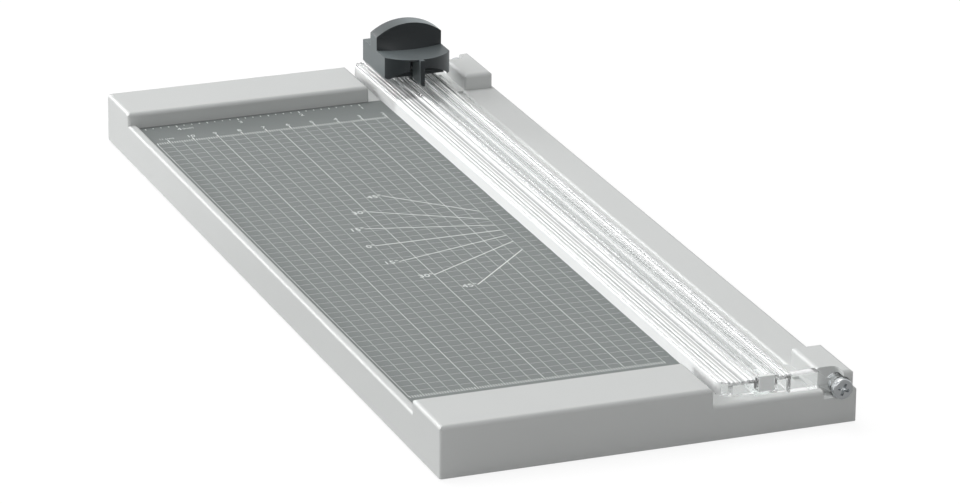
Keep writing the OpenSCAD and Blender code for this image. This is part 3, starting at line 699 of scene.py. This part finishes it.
@dataclass
class BedPrint:
    """The printed grid, rulers and angle fan on the bed, as thin layers of ink.

    Places along the bed are measured from the fence, and places across it from the cut line.
    """

    ink: float = 0.03
    # Grid
    square: float = 5.0
    first_line: int = 4
    last_line: int = 22
    border: float = 115.3
    strong_lines: tuple[int, ...] = (7, 13, 18)
    grid_top: float = 25.7
    grid_rows: int = 55
    row_end: float = 16.0
    line_w: float = 0.11
    row_w: float = 0.08
    strong_w: float = 0.2
    # Rulers
    comb_w: float = 0.27
    tick_w: float = 0.45
    cm: float = 10.0
    first_cm: int = 2
    cm_ruler: float = 20.3
    near_ruler: float = 300.7
    tick: float = 2.0
    long_tick: float = 2.9
    inch: float = 25.4
    inch_parts: int = 8
    inch_ruler: float = 1.8
    inch_tick: float = 1.9
    half_inch_tick: float = 1.4
    eighth_tick: float = 0.9
    # Numbers
    inch_label: float = 6.2
    cm_label: float = 15.6
    letter: float = 3.5
    unit: float = 2.0
    unit_gap: float = 1.2
    degree_letter: float = 4.4
    degree_gap: float = 0.3
    # Fan of angle lines
    fan_across: float = 3.1
    fan_along: float = 156.1
    fan_start: float = 25.0
    fan_r: float = 71.6
    fan_w: float = 0.42
    fan_half: int = 45
    fan_step: int = 15
    # Taken from the solids
    level: float = field(init=False)
    fence: float = field(init=False)
    cut: float = field(init=False)

    def __post_init__(self) -> None:
        """Takes the bed's level and the two lines that all print is measured from."""
        bed_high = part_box("printed_bed")[1]
        mat_low, mat_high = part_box("cutting_mat")
        self.level = bed_high.z / MM
        self.fence = bed_high.y / MM
        self.cut = (mat_low.x + mat_high.x) / 2 / MM

    def point(self, across: float, along: float) -> Vector:
        """Gives a point on the bed from its distances to the cut line and the fence."""
        return Vector((self.cut - across, self.fence - along, self.level))

    def fan_angles(self) -> range:
        """Gives the angles of the fan's lines, in degrees."""
        return range(-self.fan_half, self.fan_half + 1, self.fan_step)

    def fan_point(self, deg: int, reach: float) -> Vector:
        """Gives the point of a line of the fan that lies at a distance from the fan's middle."""
        turn = math.radians(deg)
        return self.point(self.fan_across + reach * math.cos(turn), self.fan_along - reach * math.sin(turn))

    def line(self, shape: bmesh.types.BMesh, start: Vector, end: Vector, width: float) -> None:
        """Adds one printed line between two points on the bed."""
        add_bar(shape, start, end, width, self.level - self.ink / 2, self.level + self.ink)

    def label(
        self,
        shape: bmesh.types.BMesh,
        words: str,
        at: Vector,
        height: float,
        reading: Reading = Reading.CENTRED,
    ) -> None:
        """Adds one printed word or number at a point on the bed."""
        add_label(shape, words, at, height, self.ink, reading)

    def build(self) -> None:
        """Prints the grid, the rulers, the fan and their numbers."""
        self.grid()
        self.rulers()
        self.fan()
        self.numbers()

    def grid(self) -> None:
        """Prints the square grid."""
        shape = bmesh.new()
        columns = [
            (k * self.square, self.strong_w if k in self.strong_lines else self.line_w)
            for k in range(self.first_line, self.last_line + 1)
        ]
        for across, width in columns + [(self.border, self.strong_w)]:
            self.line(shape, self.point(across, self.cm_ruler), self.point(across, self.near_ruler), width)
        for k in range(self.grid_rows):
            along = self.grid_top + k * self.square
            self.line(shape, self.point(self.border, along), self.point(self.row_end, along), self.row_w)
        show_piece("bed_grid", shape, INK, Body.BASE)

    def rulers(self) -> None:
        """Prints the centimetre, inch and near-edge combs of ticks."""
        shape = bmesh.new()
        half = self.tick / 2
        for mm in range(int(self.first_line * self.square), int(self.border) + 1):
            for along in (self.cm_ruler, self.near_ruler):
                self.line(shape, self.point(mm, along - half), self.point(mm, along + half), self.comb_w)
        for k in range(self.first_cm, int(self.border / self.cm) + 1):
            far_end = self.point(k * self.cm, self.cm_ruler - self.long_tick)
            self.line(shape, far_end, self.point(k * self.cm, self.cm_ruler), self.tick_w)
        for part in range(self.inch_parts, int(self.border / self.inch * self.inch_parts) + 1):
            across = part * self.inch / self.inch_parts
            whole, middle = part % self.inch_parts == 0, part % self.inch_parts == self.inch_parts / 2
            reach = self.inch_tick if whole else self.half_inch_tick if middle else self.eighth_tick
            start = self.point(across, self.inch_ruler)
            self.line(shape, start, self.point(across, self.inch_ruler + reach), self.tick_w)
        show_piece("bed_rulers", shape, INK, Body.BASE)

    def fan(self) -> None:
        """Prints the fan of angle lines, which all begin at the same distance from the cut line."""
        shape = bmesh.new()
        for deg in self.fan_angles():
            rise = (self.fan_start - self.fan_across) * math.tan(math.radians(deg))
            start = self.point(self.fan_start, self.fan_along - rise)
            self.line(shape, start, self.fan_point(deg, self.fan_r), self.fan_w)
        show_piece("angle_fan", shape, INK, Body.BASE)

    def numbers(self) -> None:
        """Prints the numbers of the rulers and of the fan."""
        shape = bmesh.new()
        last_cm, last_inch = int(self.border / self.cm), int(self.border / self.inch)
        for k in range(self.first_cm, last_cm):
            self.label(shape, str(k), self.point(k * self.cm, self.cm_label), self.letter)
        self.label(shape, f"{last_cm} (cm)", self.point(last_cm * self.cm, self.cm_label), self.unit)
        for k in range(1, last_inch + 1):
            self.label(shape, str(k), self.point(k * self.inch, self.inch_label), self.letter)
        beside_last = self.point(last_inch * self.inch - self.unit_gap, self.inch_label)
        self.label(shape, "(inch)", beside_last, self.unit, Reading.FROM_LEFT)
        for deg in self.fan_angles():
            at = self.fan_point(deg, self.fan_r - self.degree_gap)
            self.label(shape, f"{abs(deg)}°", at, self.degree_letter, Reading.TO_RIGHT)
        show_piece("bed_numbers", shape, INK, Body.BASE)


@dataclass
class Rail:
    """The clear rail with its grip strip and channel stops."""

    def build(self) -> None:
        """Dresses the rail, which throws no shadow; its clear pieces stay out of the bounced light."""
        for node, finish in (
            ("clear_rail", CLEAR), ("grip_strip", CLEAR), ("near_stop", PALE), ("far_stop", PALE),
        ):
            dress_node(node, finish)
            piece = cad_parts[node]
            piece.visible_shadow = False
            piece.visible_diffuse = finish is PALE


@dataclass
class Carriage:
    """The slider and the head with its blade."""

    edge: float = 0.5
    edge_deg: float = 35.0

    def build(self) -> None:
        """Dresses the works inside the cover, winds the springs and rounds the cover's edges."""
        for node, finish in (
            ("slider_deck", DARK), ("guide_posts", STEEL), ("post_clips", STEEL), ("blade_fork", DARK),
            ("fork_screws", ZINC), ("blade_axle", STEEL), ("blade_hub", BRASS), ("cutting_blade", STEEL),
        ):
            dress_node(node, finish)
        self.springs()
        self.cover()

    def springs(self) -> None:
        """Makes the coils of the press springs in a mesh of their own; the real springs shorten as the head
        goes down.
        """
        shape = merged_copy("press_springs")
        coils = show_piece("wound_springs", shape, STEEL, Body.SLIDER, ["press_springs"])
        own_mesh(coils)

    def cover(self) -> None:
        """Rounds the outer edges of the cover."""
        shape = merged_copy("head_cover")
        sharp = [
            e for e in shape.edges if e.is_convex and e.calc_face_angle(0) > math.radians(self.edge_deg)
        ]
        bmesh.ops.bevel(
            shape, geom=sharp, offset=self.edge * MM, affect="EDGES", segments=ROUND_STEPS, profile=0.5,
            material=-1, clamp_overlap=True,
        )
        cover = show_piece("rounded_cover", shape, DARK, Body.HEAD, ["head_cover"])
        flats = cover.modifiers.new("flats", "WEIGHTED_NORMAL")
        flats.keep_sharp = True


# Camera, light and floor


@dataclass(frozen=True)
class Lamp:
    """One soft lamp: the way to it, how far off and how large it is, and its light on what faces it."""

    name: str
    way: tuple[float, float, float]
    reach: float
    wide: float
    tall: float
    level: float

    def hang(self) -> None:
        """Hangs the lamp so that it faces the trimmer; a level of 1 would show a white surface as white.

        The lamp isn't seen through the rail, which would otherwise light up.
        """
        lamp = bpy.data.lights.new(self.name, "AREA")
        lamp.shape = "RECTANGLE"
        lamp.size = self.wide * MM
        lamp.size_y = self.tall * MM
        reach = self.reach * MM
        lamp.energy = self.level * (math.pi * reach) ** 2
        way = Vector(self.way).normalized()
        holder = bpy.data.objects.new(self.name, lamp)
        holder.location = way * reach
        holder.rotation_euler = way.to_track_quat("Z", "Y").to_euler()
        holder.visible_transmission = False
        bpy.context.scene.collection.objects.link(holder)


@dataclass
class Studio:
    """The camera of the photograph, plain soft light and a white floor."""

    # Camera
    aim: tuple[float, float, float] = (2.66, -16.6, 13.7)
    distance: float = 2010.9
    azimuth: float = 21.31
    elevation: float = 20.37
    roll: float = 0.495
    focal_px: float = 5455.0
    image_w: int = 960
    sensor: float = 36.0
    clip_near: float = 50.0
    clip_far: float = 100000.0
    # Lamps and sky
    lamps: tuple[Lamp, ...] = (
        Lamp("overhead", (-0.10, 0.28, 0.95), 2600, 1500, 1500, 0.51),
        Lamp("left", (-0.88, 0.40, 0.26), 6000, 3400, 2000, 0.42),
        Lamp("far", (-0.40, 0.87, 0.28), 6000, 2400, 1200, 0.40),
        Lamp("near", (-0.25, -0.90, 0.35), 2600, 1600, 1200, 0.16),
    )
    sky: float = 0.28
    # What a piece mirrors: darker towards the camera, lighter towards the far side
    mirror_near: float = 0.35
    mirror_far: float = 0.9
    mirror_reach: float = 150.0
    sky_near: float = -0.7
    sky_far: float = 0.5
    # Floor
    floor_size: float = 40000.0
    floor_bounce: str = "#c0c0c0"
    floor_glow: float = 1.05
    glow_share: float = 0.85

    def build(self) -> None:
        """Sets the camera, the lamps, the world and the floor."""
        bpy.context.scene.view_settings.view_transform = "Standard"
        self.camera()
        for lamp in self.lamps:
            lamp.hang()
        self.world()
        self.floor()

    def camera(self) -> None:
        """Puts the camera where the photograph was taken from."""
        lens = bpy.data.cameras.new("camera")
        lens.sensor_width = self.sensor
        lens.lens = self.focal_px / self.image_w * self.sensor
        lens.clip_start, lens.clip_end = self.clip_near * MM, self.clip_far * MM
        turn, rise, roll = (math.radians(a) for a in (self.azimuth, self.elevation, self.roll))
        ahead = Vector((math.sin(turn) * math.cos(rise), math.cos(turn) * math.cos(rise), -math.sin(rise)))
        level_right = ahead.cross(Vector((0, 0, 1))).normalized()
        level_up = level_right.cross(ahead)
        right = level_right * math.cos(roll) + level_up * math.sin(roll)
        up = level_up * math.cos(roll) - level_right * math.sin(roll)
        holder = bpy.data.objects.new("camera", lens)
        place = Matrix((right, up, -ahead)).transposed().to_4x4()
        place.translation = (Vector(self.aim) - ahead * self.distance) * MM
        holder.matrix_world = place
        bpy.context.scene.collection.objects.link(holder)
        bpy.context.scene.camera = holder

    def seen(self, tree: bpy.types.NodeTree) -> bpy.types.NodeSocket:
        """Adds a value of 1 where the eye looks, also through a clear piece, and 0 elsewhere.

        Args:
            tree: Node tree of the floor or the world.

        Returns:
            The output that carries the value.
        """
        ray = add_node(tree, "ShaderNodeLightPath")
        unbounced = add_node(tree, "ShaderNodeMath", {"operation": "LESS_THAN"}, {
            0: ray.outputs["Diffuse Depth"], 1: 0.5,
        })
        through = add_node(tree, "ShaderNodeMath", {"operation": "MULTIPLY"}, {
            0: ray.outputs["Is Transmission Ray"], 1: unbounced.outputs[0],
        })
        eye = add_node(tree, "ShaderNodeMath", {"operation": "MAXIMUM"}, {
            0: ray.outputs["Is Camera Ray"], 1: through.outputs[0],
        })
        return eye.outputs[0]

    def world(self) -> None:
        """Lights the scene evenly; the eye sees a white sky, and pieces mirror it darker near the camera."""
        sky = bpy.data.worlds.new("surround")
        bpy.context.scene.world = sky
        sky.use_nodes = True
        tree = sky.node_tree
        way = add_node(tree, "ShaderNodeTexCoord").outputs["Generated"]
        along = add_node(tree, "ShaderNodeSeparateXYZ", None, {0: way}).outputs["Y"]
        mirrored = add_node(tree, "ShaderNodeMapRange", {"interpolation_type": "SMOOTHSTEP"}, {
            "Value": along, "From Min": self.sky_near, "From Max": self.sky_far,
            "To Min": self.mirror_near, "To Max": self.mirror_far,
        })
        glossy = add_node(tree, "ShaderNodeLightPath").outputs["Is Glossy Ray"]
        around = add_node(tree, "ShaderNodeMapRange", None, {
            "Value": glossy, "To Min": self.sky, "To Max": mirrored.outputs["Result"],
        })
        level = add_node(tree, "ShaderNodeMapRange", None, {
            "Value": self.seen(tree), "To Min": around.outputs["Result"], "To Max": 1.0,
        })
        light = tree.nodes["Background"]
        light.inputs["Color"].default_value = linear(WHITE)
        tree.links.new(level.outputs["Result"], light.inputs["Strength"])

    def floor_paint(self) -> bpy.types.Material:
        """Builds the floor's paint: white to the eye, greyer to the light that it bounces and to mirrors.

        Returns:
            The finished material.
        """
        paint = bpy.data.materials.new("white_floor")
        paint.use_nodes = True
        tree = paint.node_tree
        tree.nodes.remove(tree.nodes["Principled BSDF"])
        bounce = add_node(tree, "ShaderNodeBsdfDiffuse", None, {"Color": linear(self.floor_bounce)})
        pale = add_node(tree, "ShaderNodeBsdfDiffuse", None, {"Color": linear(WHITE)})
        glow = add_node(tree, "ShaderNodeEmission", None, {
            "Color": linear(WHITE), "Strength": self.floor_glow,
        })
        white = add_node(tree, "ShaderNodeMixShader", None, {
            0: self.glow_share, 1: pale.outputs[0], 2: glow.outputs[0],
        })
        place = add_node(tree, "ShaderNodeTexCoord").outputs["Object"]
        along = add_node(tree, "ShaderNodeSeparateXYZ", None, {0: place}).outputs["Y"]
        shown = add_node(tree, "ShaderNodeMapRange", {"interpolation_type": "SMOOTHSTEP"}, {
            "Value": along, "From Min": 0.0, "From Max": self.mirror_reach * MM,
            "To Min": self.mirror_near, "To Max": self.mirror_far,
        })
        mirrored = add_node(tree, "ShaderNodeEmission", None, {
            "Color": linear(WHITE), "Strength": shown.outputs["Result"],
        })
        glossy = add_node(tree, "ShaderNodeLightPath").outputs["Is Glossy Ray"]
        around = add_node(tree, "ShaderNodeMixShader", None, {
            0: glossy, 1: bounce.outputs[0], 2: mirrored.outputs[0],
        })
        mixed = add_node(tree, "ShaderNodeMixShader", None, {
            0: self.seen(tree), 1: around.outputs[0], 2: white.outputs[0],
        })
        tree.links.new(mixed.outputs[0], tree.nodes["Material Output"].inputs["Surface"])
        return paint

    def floor(self) -> None:
        """Lays a white floor that keeps a faint shadow."""
        shape = bmesh.new()
        bmesh.ops.create_grid(shape, x_segments=1, y_segments=1, size=self.floor_size / 2 * MM)
        mesh = bpy.data.meshes.new("floor")
        shape.to_mesh(mesh)
        shape.free()
        mesh.materials.append(self.floor_paint())
        floor = bpy.data.objects.new("floor", mesh)
        bpy.context.scene.collection.objects.link(floor)


def main() -> None:
    """Sets up the camera, light and floor, then builds the trimmer piece by piece."""
    logging.basicConfig(level=logging.INFO, format="%(message)s")
    Studio().build()
    Base().build()
    BedPrint().build()
    Rail().build()
    Carriage().build()


if __name__ == "__main__":
    main()
